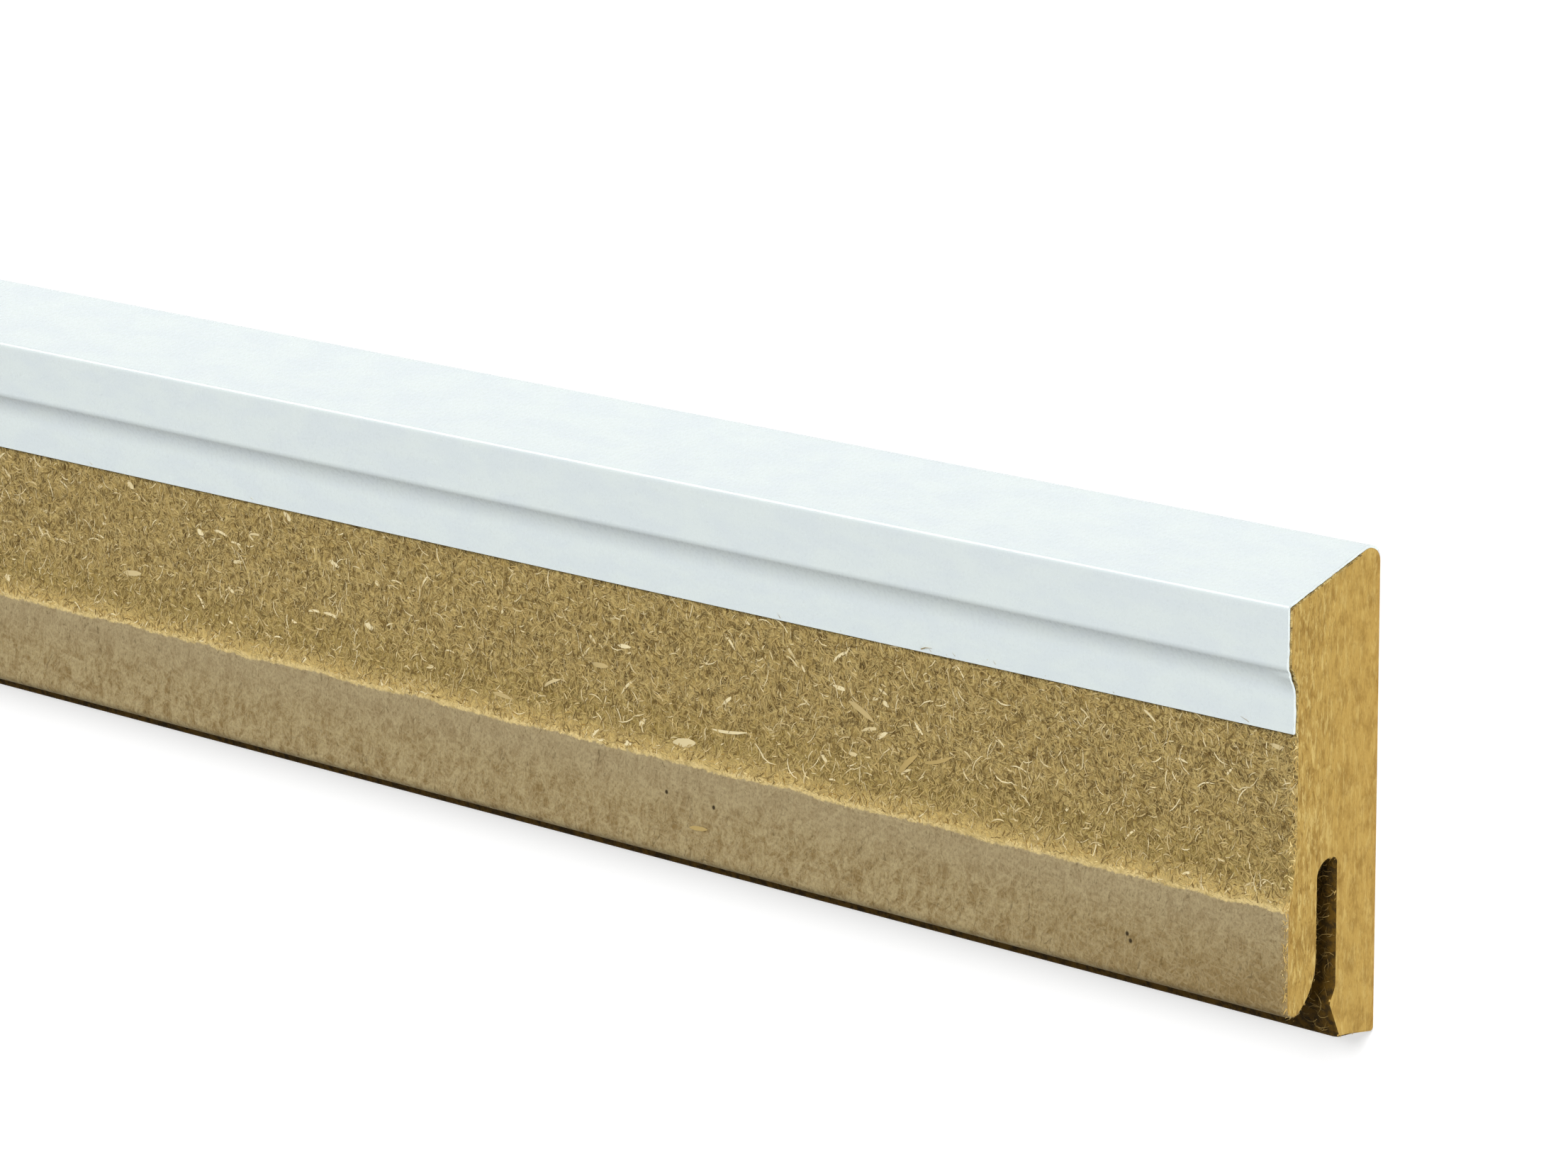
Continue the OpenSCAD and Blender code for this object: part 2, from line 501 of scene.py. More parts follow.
@dataclass
class Moulding:
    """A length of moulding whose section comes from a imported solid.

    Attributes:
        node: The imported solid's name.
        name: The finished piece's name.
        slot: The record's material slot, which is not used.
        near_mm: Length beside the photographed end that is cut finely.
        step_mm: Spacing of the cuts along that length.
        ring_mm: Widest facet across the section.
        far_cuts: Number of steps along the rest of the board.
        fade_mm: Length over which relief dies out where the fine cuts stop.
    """

    node: str
    name: str
    slot: str
    near_mm: float
    step_mm: float
    ring_mm: float
    far_cuts: int = 40
    fade_mm: float = 30.0

    @cached_property
    def end_x(self) -> float:
        """Place of the photographed end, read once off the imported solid."""
        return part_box(self.node)[1][0]

    def copy_outline(self, source: bpy.types.Object) -> bpy.types.Object:
        """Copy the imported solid's outline at its photographed end, as a loop of edges."""
        outline = bpy.data.objects.new(self.name, source.data.copy())
        bpy.context.scene.collection.objects.link(outline)
        Hands.edit(outline)
        Hands.operate(outline, "select_all", action="SELECT")
        Hands.operate(outline, "remove_doubles", threshold=WELD)
        self.select_at(outline, self.end_x, beyond=False)
        Hands.operate(outline, "delete", type="VERT")
        Hands.operate(outline, "select_all", action="SELECT")
        Hands.operate(outline, "dissolve_faces")
        Hands.operate(outline, "select_all", action="SELECT")
        Hands.operate(outline, "delete", type="ONLY_FACE")
        return outline

    def select_at(self, piece: bpy.types.Object, place_x: float, beyond: bool = True) -> None:
        """Select the vertices at one place along the board, or all the others."""
        Hands.edit(piece)
        for vertex in piece.data.vertices:
            vertex.select = (abs(vertex.co.x - place_x) < 0.01 * MM) == beyond

    def cut_outline(self, outline: bpy.types.Object) -> None:
        """Halve the outline's long edges until none is longer than is wanted."""
        while self.select_long(outline):
            Hands.operate(outline, "subdivide", number_cuts=1)

    def select_long(self, outline: bpy.types.Object) -> bool:
        """Select the edges that are longer than is wanted where they are."""
        Hands.edit(outline, "EDGE")
        found = False
        for edge in outline.data.edges:
            start, end = (outline.data.vertices[index].co for index in edge.vertices)
            edge.select = (start - end).length > self.facet_mm((start + end) / 2) * MM
            found = found or edge.select
        return found

    def facet_mm(self, place: Vector) -> float:
        """Widest facet wanted at a place on the section."""
        return self.ring_mm

    def fade(self, place: Vector) -> float:
        """1 beside the photographed end, falling to 0 where the fine cuts stop."""
        inside = place.x - self.end_x + self.near_mm * MM
        return min(1.0, max(0.0, inside / (self.fade_mm * MM)))

    def sweep(self, outline: bpy.types.Object, start_x: float, length: float,
              steps: int) -> bpy.types.Object:
        """Draw a copy of the outline along the board.

        Args:
            outline: The loop of edges.
            start_x: Where the stretch starts.
            length: How far it runs, towards the far end.
            steps: Its number of steps.

        Returns:
            The open tube.
        """
        tube = bpy.data.objects.new(f"{self.name}_tube", outline.data.copy())
        bpy.context.scene.collection.objects.link(tube)
        tube.data.transform(Matrix.Translation((start_x - self.end_x, 0, 0)))
        screw = tube.modifiers.new("sweep", "SCREW")
        screw.axis = "X"
        screw.angle = 0.0
        screw.screw_offset = -length
        screw.steps = steps
        screw.render_steps = steps
        screw.use_smooth_shade = False
        Hands.apply(tube, screw)
        return tube

    def board(self, source: bpy.types.Object) -> bpy.types.Object:
        """The whole board: fine steps by the photographed end, long ones beyond, and two caps."""
        outline = self.copy_outline(source)
        self.cut_outline(outline)
        end = self.end_x
        near = self.near_mm * MM
        fine = self.sweep(outline, end, near, round(self.near_mm / self.step_mm))
        coarse = self.sweep(outline, end - near, 2 * end - near, self.far_cuts)
        for place_x, tube in ((end, fine), (-end, coarse)):
            self.select_at(tube, place_x)
            Hands.operate(tube, "edge_face_add")
        Hands.remove(outline)
        Hands.take(fine, coarse)
        bpy.ops.object.join()
        fine.name = self.name
        fine.data.name = self.name
        Hands.operate(fine, "select_all", action="SELECT")
        Hands.operate(fine, "remove_doubles", threshold=WELD)
        Hands.operate(fine, "select_all", action="SELECT")
        Hands.operate(fine, "normals_make_consistent", inside=False)
        return fine

    def group(self, piece: bpy.types.Object, name: str, weight: object) -> str:
        """Give a piece a vertex group whose weights follow a function of place.

        Args:
            piece: The piece to weight.
            name: The group's name.
            weight: A function from a place to a weight from 0 to 1.

        Returns:
            The group's name.
        """
        levels: dict[int, list[int]] = {}
        for vertex in piece.data.vertices:
            level = round(WEIGHT_LEVELS * min(weight(vertex.co), 1.0))
            levels.setdefault(level, []).append(vertex.index)
        group = piece.vertex_groups.new(name=name)
        for level, indices in levels.items():
            if level > 0:
                group.add(indices, level / WEIGHT_LEVELS, "REPLACE")
        return name

    def roughen(self, piece: bpy.types.Object, group: str, size_mm: float, depth_mm: float,
                direction: str = "NORMAL", depth_levels: int = 2, middle: float = 0.5) -> None:
        """Move the surface by a cloud pattern, and apply it.

        Args:
            piece: The piece to roughen.
            group: The vertex group that limits it.
            size_mm: Size of the pattern's features.
            depth_mm: Full depth of the relief.
            direction: The Displace modifier's direction.
            depth_levels: Finer levels in the pattern.
            middle: The pattern's level that stays in place, where 1 only ever cuts inwards.
        """
        clouds = bpy.data.textures.new(f"{piece.name}_{group}", "CLOUDS")
        clouds.noise_scale = size_mm * MM
        clouds.noise_depth = depth_levels
        displace = piece.modifiers.new(group, "DISPLACE")
        displace.texture = clouds
        displace.texture_coords = "LOCAL"
        displace.vertex_group = group
        displace.direction = direction
        displace.mid_level = middle
        displace.strength = depth_mm * MM
        Hands.apply(piece, displace)

    def lift(self, piece: bpy.types.Object, group: str, height_mm: float) -> None:
        """Raise a group out of the board's front by an even height, and apply it."""
        displace = piece.modifiers.new(group, "DISPLACE")
        displace.vertex_group = group
        displace.direction = "Z"
        displace.mid_level = 0.0
        displace.strength = height_mm * MM
        Hands.apply(piece, displace)

    def dress(self, piece: bpy.types.Object) -> None:
        """Shade the piece and hand it to the frame."""
        Hands.take(piece)
        bpy.ops.object.shade_smooth_by_angle(angle=math.radians(28))
        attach(piece, BODY)
        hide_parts(self.node)
        LOG.info("%s: %d faces", piece.name, len(piece.data.polygons))


@dataclass
class CoreBoard(Moulding):
    """The fibreboard core, with its milled floor, ridge, pressed face and sawn ends.

    Attributes:
        ridge_y: Where the raw face ends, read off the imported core.
        floor_top_y: Where the foil ends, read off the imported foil.
        front_z: The raw face's height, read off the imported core.
        recess_mm: How far below the raw face the bare front reaches.
        groove_z_mm: The groove's walls, from the back leg to the front leg.
        groove_y_mm: The groove's run, from the foot to its closed end.
    """

    ridge_y: float = 0.0
    floor_top_y: float = 0.0
    front_z: float = 0.0
    recess_mm: float = 1.6
    groove_z_mm: tuple[float, float] = (5.2, 11.5)
    groove_y_mm: tuple[float, float] = (-28.8, -7.0)

    def facet_mm(self, place: Vector) -> float:
        """Fine facets on the bare front, coarse ones elsewhere."""
        bare_front = self.is_front(place) and place.y < self.floor_top_y + 0.5 * MM
        under_foil = place.y > self.floor_top_y and place.z > 0.5 * MM
        if under_foil:
            return 1.3
        return self.ring_mm if bare_front else 3.0

    def is_front(self, place: Vector) -> bool:
        """Whether a place is on the raw face or in the recess."""
        return place.z > self.front_z - self.recess_mm * MM

    def measure(self, source: bpy.types.Object) -> None:
        """Read the front face, the ridge and the foil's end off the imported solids."""
        places = [vertex.co for vertex in source.data.vertices]
        self.front_z = max(place.z for place in places)
        on_front = [place.y for place in places if place.z > self.front_z - 0.01 * MM and place.y < 0]
        self.ridge_y = max(on_front)
        self.floor_top_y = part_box(FOIL_NODE)[0][1]

    def nearness(self, place: Vector) -> float:
        """The fade, but 0 on the end itself, so that nothing stands out of it."""
        return 0.0 if place.x > self.end_x - 0.5 * MM else self.fade(place)

    def on_floor(self, place: Vector) -> float:
        """1 on the milled floor and its sweep."""
        bare = self.ridge_y + 0.3 * MM < place.y < self.floor_top_y - 0.05 * MM
        return self.nearness(place) if bare and self.is_front(place) else 0.0

    def on_pressed(self, place: Vector) -> float:
        """1 on the pressed lower face."""
        low = place.y < self.ridge_y + 0.3 * MM and place.z > self.front_z - 0.4 * MM
        return self.nearness(place) if low else 0.0

    def by_ridge(self, place: Vector) -> float:
        """A soft peak on the ridge line."""
        if not self.is_front(place) or place.y > self.floor_top_y - MM:
            return 0.0
        return self.nearness(place) * math.exp(-((place.y - self.ridge_y) / (1.8 * MM)) ** 2)

    def by_groove(self, place: Vector) -> float:
        """1 on the walls of the clip groove."""
        back, front = self.groove_z_mm
        foot, top = self.groove_y_mm
        walls = back * MM < place.z < front * MM and foot * MM < place.y < top * MM
        return self.nearness(place) if walls else 0.0

    def loosen_rim(self, piece: bpy.types.Object) -> None:
        """Inset the sawn face and fray its rim, which leaves a dark line beside the foil.

        Args:
            piece: The board, whose groups "sawn" and "rim" this makes.
        """
        self.select_at(piece, self.end_x)
        Hands.operate(piece, "inset", thickness=0.3 * MM)
        sawn, rim = [], []
        for vertex in piece.data.vertices:
            if vertex.co.x > self.end_x - 0.05 * MM and vertex.co.z > 3 * MM:
                (sawn if vertex.select else rim).append(vertex.index)
        piece.vertex_groups.new(name="sawn").add(sawn, 1.0, "REPLACE")
        piece.vertex_groups.new(name="rim").add(rim, 1.0, "REPLACE")
        self.roughen(piece, "rim", 0.9, 0.42, middle=1.0)

    def above_ridge(self, place: Vector) -> float:
        """1 on the few millimetres of floor just above the ridge line."""
        above = 0.3 * MM < place.y - self.ridge_y < 2.6 * MM
        return self.by_ridge(place) if above else 0.0

    def by_brow(self, place: Vector) -> float:
        """1 on the bare front's last millimetre, beside the sawn end."""
        front = place.z > self.front_z - 4.2 * MM and place.y < self.floor_top_y
        return 1.0 if front and place.x > self.end_x - 0.9 * MM else 0.0

    def by_mouth(self, place: Vector) -> float:
        """1 on the groove's walls beside the sawn end, falling to 0 inside it."""
        return self.by_groove(place) * max(0.0, 1 - (self.end_x - place.x) / (9 * MM))

    def by_floor(self, place: Vector) -> float:
        """1 where loose fibres lie, short of the sawn end."""
        return self.on_floor(place) if place.x < self.end_x - 0.6 * MM else 0.0

    def make(self, source: bpy.types.Object) -> bpy.types.Object:
        """Cut, roughen and dress the core."""
        self.measure(source)
        piece = self.board(source)
        self.loosen_rim(piece)
        self.group(piece, "ridge_line", self.by_ridge)
        self.group(piece, "milled", self.on_floor)
        self.group(piece, "pressed", self.on_pressed)
        self.group(piece, "groove", self.by_groove)
        self.group(piece, "crest", self.above_ridge)
        self.group(piece, "mouth", self.by_mouth)
        self.group(piece, "brow", self.by_brow)
        self.group(piece, "felt", self.by_floor)
        self.roughen(piece, "ridge_line", 9.0, 1.6, "Y", 2)
        self.roughen(piece, "milled", 0.9, 0.16)
        self.roughen(piece, "pressed", 3.0, 0.05)
        self.roughen(piece, "groove", 1.2, 0.22)
        piece.data.materials.clear()
        piece.data.materials.append(Fibreboard(ridge_mm=self.ridge_y / MM).material())
        piece.data.materials.append(SawnEnd().material())
        for face in piece.data.polygons:
            face.material_index = 1 if abs(face.normal.x) > 0.9 else 0
        self.dress(piece)
        return piece


@dataclass
class FoilWrap(Moulding):
    """The white foil, with a faint ripple and a torn edge where the saw left it.

    Attributes:
        tear_mm: Reach of the tear along the board.
        tear_width_mm: Its reach across the board.
        cove_y_mm: The cove's place across the board.
        cove_z_mm: Height below which the foil lies in the cove.
    """

    tear_mm: float = 1.6
    tear_width_mm: float = 1.4
    cove_y_mm: float = 15.4
    cove_z_mm: float = 14.9

    def at_cut(self, place: Vector) -> float:
        """1 on the foil's sawn edge."""
        return 1.0 if place.x > self.end_x - 0.05 * MM else 0.0

    def at_tear(self, place: Vector) -> float:
        """A soft peak in the cove, just behind the sawn edge."""
        back = (self.end_x - place.x) / (self.tear_mm * MM)
        across = (place.y - self.cove_y_mm * MM) / (self.tear_width_mm * MM)
        in_cove = place.z < self.cove_z_mm * MM
        return math.exp(-back * back - across * across) if back < 3 and in_cove else 0.0

    def make(self, source: bpy.types.Object) -> bpy.types.Object:
        """Cut, ripple and dress the foil."""
        piece = self.board(source)
        self.group(piece, "ripple", self.fade)
        self.group(piece, "cut_edge", self.at_cut)
        self.roughen(piece, "ripple", 6.0, 0.03, "Z", 2, 1.0)
        self.roughen(piece, "cut_edge", 0.7, 0.3, "X", 2, 1.0)
        self.group(piece, "tear", self.at_tear)
        self.lift(piece, "tear", 0.3)
        piece.data.materials.clear()
        piece.data.materials.append(WhiteFoil().material())
        self.dress(piece)
        return piece


@dataclass(frozen=True)
class Strand:
    """One fibre or flake, a bowed ribbon, in millimetres.

    Attributes:
        length: Its length.
        width: Its width in the middle.
        bow: How far its middle lies to the side.
        rise: How far its middle stands up.
        pieces: Number of straight pieces along it.
    """

    length: float
    width: float
    bow: float
    rise: float
    pieces: int = 4

    def make(self, name: str, finish: Finish) -> bpy.types.Object:
        """Cut a plane into a ribbon, and bow it sideways and upwards.

        Args:
            name: The helper object's name.
            finish: Its finish.

        Returns:
            The ribbon, lying along X at the origin.
        """
        bpy.ops.object.select_all(action="DESELECT")
        bpy.ops.mesh.primitive_plane_add(size=1)
        ribbon = bpy.context.active_object
        ribbon.name = name
        ribbon.data.transform(Matrix.Diagonal((self.length * MM, self.width * MM, 1, 1)))
        Hands.edit(ribbon, "EDGE")
        for edge in ribbon.data.edges:
            start, end = (ribbon.data.vertices[index].co for index in edge.vertices)
            edge.select = abs(start.x - end.x) > 0.5 * self.length * MM
        Hands.operate(ribbon, "subdivide", number_cuts=self.pieces - 1)
        for vertex in ribbon.data.vertices:
            share = 2 * vertex.co.x / (self.length * MM)
            taper = 1 - 0.75 * share ** 4
            vertex.co.y = vertex.co.y * taper + self.bow * MM * (1 - share * share)
            vertex.co.z = self.rise * MM * (1 - 1.3 * share * share)
        ribbon.data.materials.append(finish.material())
        return ribbon


@dataclass(frozen=True)
class Scatter:
    """Strands strewn over part of a surface.

    Attributes:
        name: The finished piece's name.
        per_mm2: Strands on a square millimetre where the weight is 1.
        group: The surface's vertex group that weights them.
        heading: The direction the strands favour.
        spread: How far they turn from it, in degrees to each side.
        tilt: How far they lean out of the surface, in degrees.
        smallest: Smallest size, as a share of the strand as made.
        largest: Largest size.
        tone_low: Darkest tone a strand can take, from 0 to 1.
        tone_high: Palest tone a strand can take.
        seed: Seed of the strewing.
    """

    name: str
    per_mm2: float
    group: str
    heading: Axis = Axis.ALONG
    spread: float = 180.0
    tilt: float = 9.0
    smallest: float = 0.6
    largest: float = 1.4
    tone_low: float = 0.0
    tone_high: float = 1.0
    seed: int = 1

    def tree(self, shapes: bpy.types.Collection) -> bpy.types.NodeTree:
        """The node tree that strews the shapes and makes them real."""
        tree = bpy.data.node_groups.new(self.name, "GeometryNodeTree")
        tree.interface.new_socket("Geometry", in_out="INPUT", socket_type="NodeSocketGeometry")
        tree.interface.new_socket("Geometry", in_out="OUTPUT", socket_type="NodeSocketGeometry")
        nodes = Nodes(tree)
        surface = nodes.add("NodeGroupInput").outputs[0]
        cover = nodes.add("GeometryNodeInputNamedAttribute", data_type="FLOAT")
        nodes.put(cover, "Name", self.group)
        density = nodes.times(cover.outputs["Attribute"], self.per_mm2 / MM ** 2)
        strew = nodes.add("GeometryNodeDistributePointsOnFaces", distribute_method="RANDOM")
        nodes.put(strew, "Mesh", surface)
        nodes.put(strew, "Density", density)
        nodes.put(strew, "Seed", self.seed)
        upright = nodes.add("FunctionNodeAlignRotationToVector", axis="Z")
        nodes.put(upright, "Vector", strew.outputs["Normal"])
        headed = nodes.add("FunctionNodeAlignRotationToVector", axis="X", pivot_axis="Z")
        nodes.put(headed, "Rotation", upright.outputs[0])
        nodes.put(headed, "Vector", tuple(self.heading.value))
        lean = math.radians(self.tilt)
        swing = math.radians(self.spread)
        angles = self.random(nodes, "FLOAT_VECTOR", (-lean, -lean, -swing), (lean, lean, swing), 11)
        loose = nodes.add("FunctionNodeRotateRotation", rotation_space="LOCAL")
        nodes.put(loose, 0, headed.outputs[0])
        nodes.put(loose, 1, angles)
        lay = nodes.add("GeometryNodeInstanceOnPoints")
        stock = nodes.add("GeometryNodeCollectionInfo")
        nodes.put(stock, "Collection", shapes)
        nodes.put(stock, "Separate Children", True)
        nodes.put(stock, "Reset Children", True)
        nodes.put(lay, "Points", strew.outputs["Points"])
        nodes.put(lay, "Instance", stock.outputs[0])
        nodes.put(lay, "Pick Instance", True)
        nodes.put(lay, "Rotation", loose.outputs[0])
        nodes.put(lay, "Scale", self.random(nodes, "FLOAT", self.smallest, self.largest, 23))
        toned = nodes.add("GeometryNodeStoreNamedAttribute", data_type="FLOAT", domain="INSTANCE")
        nodes.put(toned, "Geometry", lay.outputs[0])
        nodes.put(toned, "Name", "tone")
        nodes.put(toned, "Value", self.random(nodes, "FLOAT", self.tone_low, self.tone_high, 37))
        real = nodes.add("GeometryNodeRealizeInstances")
        nodes.put(real, 0, toned.outputs[0])
        nodes.put(nodes.add("NodeGroupOutput"), 0, real.outputs[0])
        return tree

    def random(self, nodes: Nodes, kind: str, low: object, high: object,
               seed: int) -> bpy.types.NodeSocket:
        """A random number or vector for each strand."""
        node = nodes.add("FunctionNodeRandomValue", data_type=kind)
        sockets = [item for item in node.inputs if item.enabled]
        sockets[0].default_value = low
        sockets[1].default_value = high
        node.inputs["Seed"].default_value = seed + self.seed
        return next(item for item in node.outputs if item.enabled)

    def trim(self, piece: bpy.types.Object) -> None:
        """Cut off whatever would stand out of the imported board's box."""
        low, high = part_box(CORE_NODE)
        planes = [
            (high, (1, 0, 0)), (high, (0, 0, 1)), (low, (0, -1, 0)), (low, (0, 0, -1)),
        ]
        for corner, outwards in planes:
            Hands.operate(piece, "select_all", action="SELECT")
            Hands.operate(piece, "bisect", plane_co=tuple(corner), plane_no=outwards,
                          clear_outer=True, threshold=0.0001 * MM)

    def make(self, surface: bpy.types.Object, strands: list[Strand],
             finish: Finish) -> bpy.types.Object:
        """Strew copies of the strands over a surface, as one piece.

        Args:
            surface: The piece they lie on.
            strands: The shapes to pick from.
            finish: Their finish.

        Returns:
            The finished piece.
        """
        shapes = bpy.data.collections.new(f"{self.name}_shapes")
        bpy.context.scene.collection.children.link(shapes)
        helpers = []
        for count, strand in enumerate(strands):
            helper = strand.make(f"{self.name}_shape_{count}", finish)
            for owner in helper.users_collection:
                owner.objects.unlink(helper)
            shapes.objects.link(helper)
            helpers.append(helper)
        piece = bpy.data.objects.new(self.name, surface.data.copy())
        bpy.context.scene.collection.objects.link(piece)
        for group in surface.vertex_groups:
            piece.vertex_groups.new(name=group.name)
        modifier = piece.modifiers.new("strew", "NODES")
        modifier.node_group = self.tree(shapes)
        Hands.apply(piece, modifier)
        self.trim(piece)
        Hands.remove(*helpers)
        bpy.data.collections.remove(shapes)
        piece.vertex_groups.clear()
        piece.data.name = self.name
        piece.data.materials.clear()
        piece.data.materials.append(finish.material())
        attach(piece, BODY)
        LOG.info("%s: %d faces", piece.name, len(piece.data.polygons))
        return piece


@dataclass(frozen=True)
class Chip:
    """One pale chip that can be told apart in the photograph, at its own place on the front.

    Attributes:
        name: The finished piece's name.
        along_mm: Its place along the board.
        up_mm: Its place across the board.
        turn: Its turn from the board's length, in degrees.
        shape: Its outline.
        tone: 0 for a dark chip, 1 for a pale one.
    """

    name: str
    along_mm: float
    up_mm: float
    turn: float
    shape: Strand
    tone: float = 1.0

    def make(self, surface: bpy.types.Object, finish: Finish) -> bpy.types.Object:
        """Lay the chip on the surface's front.

        Args:
            surface: The piece it lies on.
            finish: Its finish.

        Returns:
            The finished piece.
        """
        above = Vector((self.along_mm * MM, self.up_mm * MM, 30 * MM))
        _, touch, _, _ = surface.ray_cast(above, -Axis.OUT_OF_FACE.value)
        piece = self.shape.make(self.name, finish)
        piece.data.transform(Matrix.Rotation(math.radians(self.turn), 4, Axis.OUT_OF_FACE.value))
        piece.data.transform(Matrix.Translation(touch + Axis.OUT_OF_FACE.value * 0.08 * MM))
        tones = piece.data.attributes.new("tone", "FLOAT", "POINT")
        for item in tones.data:
            item.value = self.tone
        piece.data.name = self.name
        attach(piece, BODY)
        return piece


MARKED_CHIPS = (
    Chip("chip_broad", 1088.0, -10.5, 8, Strand(4.6, 1.2, 0.0, 0.06), 0.9),
    Chip("chip_long", 1096.5, -7.6, 5, Strand(7.2, 0.4, -0.2, 0.1), 0.95),
    Chip("chip_slanted", 1122.0, -1.0, -22, Strand(5.2, 0.8, 0.2, 0.1), 0.8),
    Chip("chip_branch", 1131.0, -6.6, 42, Strand(5.0, 0.8, 0.25, 0.1), 0.72),
    Chip("chip_twig", 1136.5, -4.9, 16, Strand(6.2, 0.5, -0.3, 0.1), 0.72),
    Chip("chip_left", 1050.0, -10.2, -4, Strand(4.0, 0.6, 0.1, 0.06), 0.8),
    Chip("chip_upper", 1060.0, -7.0, 24, Strand(4.0, 0.45, 0.2, 0.12), 0.85),
    Chip("chip_middle", 1070.0, -3.0, 2, Strand(3.2, 0.7, 0.0, 0.1), 0.8),
    Chip("chip_far", 965.0, -5.7, 6, Strand(4.4, 0.8, 0.0, 0.06), 0.85),
    Chip("chip_pressed", 1091.5, -21.3, 4, Strand(3.6, 0.6, 0.0, 0.02), 0.6),
)


@dataclass(frozen=True)
class Studio:
    """The camera at the photograph's angle, the floor and the lamps."""

    camera_at: Vector = Vector((1.8026, 0.1904, 0.6182))
    looks_along: Vector = Vector((-0.74118, -0.18927, -0.64409))
    picture_up: Vector = Vector((-0.14286, 0.9819, -0.12414))
    lens_mm: float = 168.0
    sensor_mm: float = 36.0
    room: tuple = (0.96, 0.99, 1.0, 1.0)
    room_level: float = 0.16
    floor_size: float = 12.0
    floor_drop_mm: float = 0.02

    def set_camera(self) -> None:
        """Put the camera where the photograph was taken from."""
        data = bpy.data.cameras.new("photo_camera")
        data.lens = self.lens_mm
        data.sensor_width = self.sensor_mm
        data.clip_start = 0.01
        camera = bpy.data.objects.new("photo_camera", data)
        back = -self.looks_along.normalized()
        right = self.picture_up.cross(back).normalized()
        up = back.cross(right)
        turn = Matrix((right, up, back)).transposed().to_4x4()
        camera.matrix_world = Matrix.Translation(self.camera_at) @ turn
        bpy.context.scene.collection.objects.link(camera)
        bpy.context.scene.camera = camera

    def hang_lamp(self, name: str, towards: tuple[float, float, float], level: float,
                  width: float, colour: tuple[float, float, float] = (1.0, 1.0, 1.0)) -> None:
        """Hang a far lamp that lights the whole board evenly.

        Args:
            name: The lamp's name.
            towards: Direction from the board to the lamp.
            level: Brightness of a white face turned to it, where 1 is white.
            width: How wide the lamp looks from the board, in degrees.
            colour: Its colour.
        """
        bpy.ops.object.light_add(type="SUN", location=Vector(towards))
        lamp = bpy.context.active_object
        lamp.name = name
        lamp.rotation_euler = Vector(towards).to_track_quat("Z", "Y").to_euler()
        lamp.data.energy = math.pi * level
        lamp.data.angle = math.radians(width)
        lamp.data.color = colour

    def light(self) -> None:
        """A plain room, a key from the upper left, and fills on the front, the end and the back."""
        world = bpy.data.worlds.new("studio_room")
        world.use_nodes = True
        background = world.node_tree.nodes["Background"]
        background.inputs["Color"].default_value = self.room
        background.inputs["Strength"].default_value = self.room_level
        bpy.context.scene.world = world
        self.hang_lamp("key", (-0.74, 0.51, 0.435), 0.26, 15.0)
        self.hang_lamp("front", (0.34, 0.46, 0.85), 0.64, 24.0)
        self.hang_lamp("end_fill", (0.95, 0.05, 0.28), 0.54, 20.0, (1.0, 0.99, 0.96))
        self.hang_lamp("under_fill", (0.15, -0.1, -0.98), 0.64, 24.0)

    def lay_floor(self) -> None:
        """Lay a wide pale floor under the board."""
        bpy.ops.object.select_all(action="DESELECT")
        place = (0, 0, -self.floor_drop_mm * MM)
        bpy.ops.mesh.primitive_plane_add(size=self.floor_size, location=place)
        floor = bpy.context.active_object
        floor.name = "studio_floor"
        floor.data.materials.append(StudioFloor().material())

    def build(self) -> None:
        """Set up the whole studio."""
        bpy.context.scene.view_settings.view_transform = "Standard"
        self.set_camera()
        self.light()
        self.lay_floor()


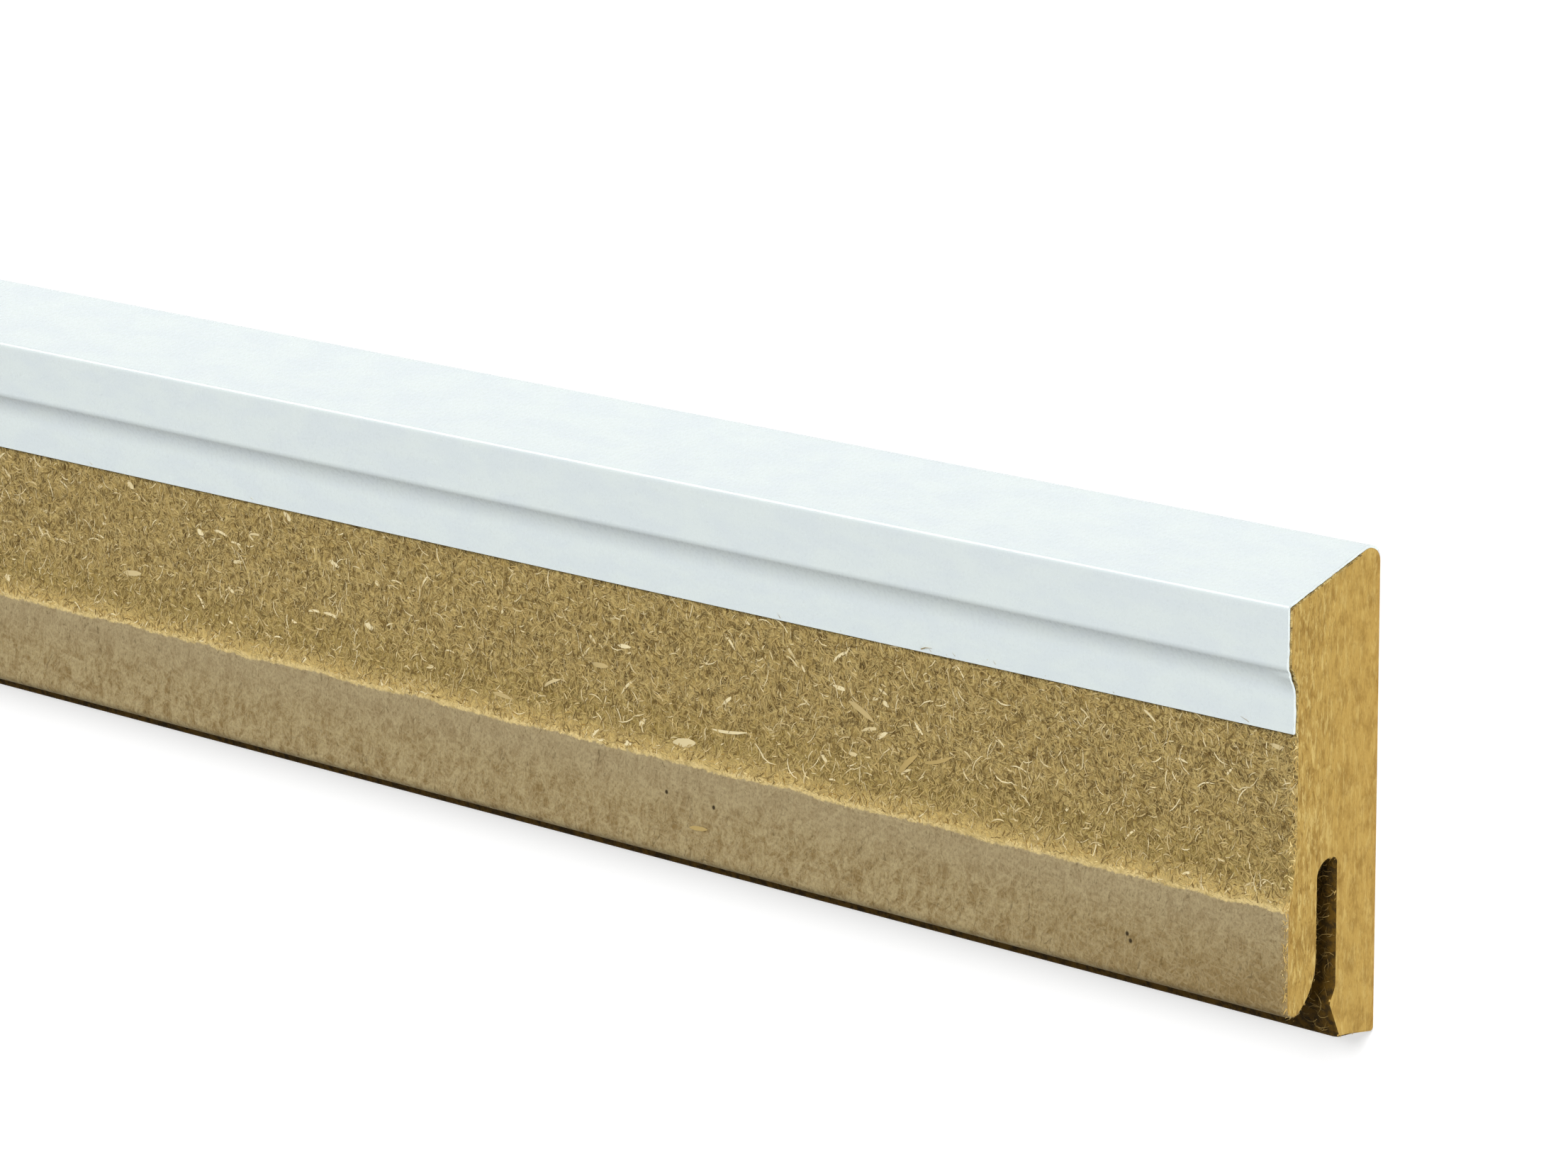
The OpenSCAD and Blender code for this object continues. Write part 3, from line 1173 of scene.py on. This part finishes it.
def strew_fibres(core: bpy.types.Object) -> None:
    """Strew the loose fibres and flakes over the core's bare faces.

    Args:
        core: The finished core.
    """
    felt = [
        Strand(1.4, 0.14, 0.12, 0.06, 3),
        Strand(0.9, 0.16, -0.08, 0.05, 3),
        Strand(1.8, 0.12, 0.3, 0.07, 3),
    ]
    strands = [
        Strand(2.6, 0.13, 0.35, 0.08),
        Strand(2.0, 0.15, -0.25, 0.07),
        Strand(3.2, 0.12, -0.6, 0.09),
    ]
    chips = [
        Strand(2.2, 0.42, 0.0, 0.06, 3),
        Strand(1.6, 0.6, 0.1, 0.05, 3),
        Strand(2.8, 0.3, 0.2, 0.06),
    ]
    torn = [Strand(0.9, 0.12, 0.1, 0.05, 3), Strand(1.3, 0.1, -0.15, 0.06, 3)]
    fluff = [Strand(1.6, 0.09, 0.4, 0.2), Strand(2.2, 0.08, -0.7, 0.25)]
    loose = LooseFibre()
    golden = GoldenFibre()
    Scatter("milled_mat", 3.2, "felt", tilt=13, tone_high=0.9, seed=3).make(core, felt, loose)
    Scatter("milled_strands", 0.22, "felt", tilt=6, tone_low=0.35, seed=8).make(core, strands, loose)
    flakes = Scatter("pale_chips", 0.012, "felt", tilt=3, spread=50, tone_low=0.86, seed=15)
    flakes.make(core, chips, loose)
    Scatter("ridge_fuzz", 2.2, "crest", tilt=12, seed=21).make(core, torn, golden)
    Scatter("sawn_fuzz", 0.7, "sawn", Axis.UP_THE_WALL, 24, 6, seed=27).make(core, torn, golden)
    brow = Scatter("brow_fuzz", 9.0, "brow", Axis.UP_THE_WALL, 60, 28, tone_low=0.3, seed=29)
    brow.make(core, torn, golden)
    # Painted shade: the groove's fuzz takes only the darkest tones, for the shade inside the groove.
    Scatter("groove_fuzz", 1.6, "mouth", tilt=30, tone_high=0.25, seed=33).make(core, fluff, loose)
    for chip in MARKED_CHIPS:
        chip.make(core, loose)


def main() -> None:
    """Build the studio, the core, the foil and the loose fibres in order."""
    logging.basicConfig(level=logging.INFO, format="%(name)s: %(message)s")
    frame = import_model()
    Studio().build()

    core_maker = CoreBoard(
        CORE_NODE, "core_milled", FIBREBOARD_SLOT, near_mm=300, step_mm=0.95, ring_mm=0.8
    )
    core = core_maker.make(frame["nodes"][CORE_NODE])
    foil_maker = FoilWrap(
        FOIL_NODE, "foil_skin", FOIL_SLOT, near_mm=300, step_mm=1.6, ring_mm=0.8
    )
    foil_maker.make(frame["nodes"][FOIL_NODE])
    strew_fibres(core)


if __name__ == "__main__":
    main()
